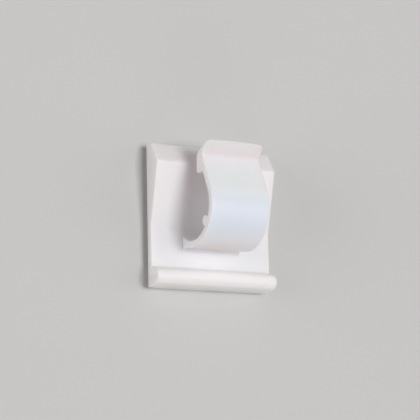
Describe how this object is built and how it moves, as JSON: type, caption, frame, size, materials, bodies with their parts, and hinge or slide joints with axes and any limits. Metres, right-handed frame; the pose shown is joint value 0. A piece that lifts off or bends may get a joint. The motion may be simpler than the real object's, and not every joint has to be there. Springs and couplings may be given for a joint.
{
  "type": "adhesive cable clip",
  "caption": "Moulded nylon cable clip: a base plate on an adhesive foam pad, with a C-shaped spring arm whose barbed, flared head closes over a ramped jaw to hold a cable.",
  "frame": {"origin": "middle of the adhesive face on the back of the foam pad, taken at the middle of the base", "axes": "+X along the cable, +Y across it from the bead to the jaw, +Z away from the surface that the clip is stuck to"},
  "size_m": [0.0254, 0.027, 0.0142],
  "materials": {
    "nylon": "satin moulded nylon, natural white",
    "foam": "matt closed-cell foam tape"
  },
  "bodies": {
    "root": {"clip": "nylon", "adhesive_pad": "foam"}
  },
  "joints": []
}
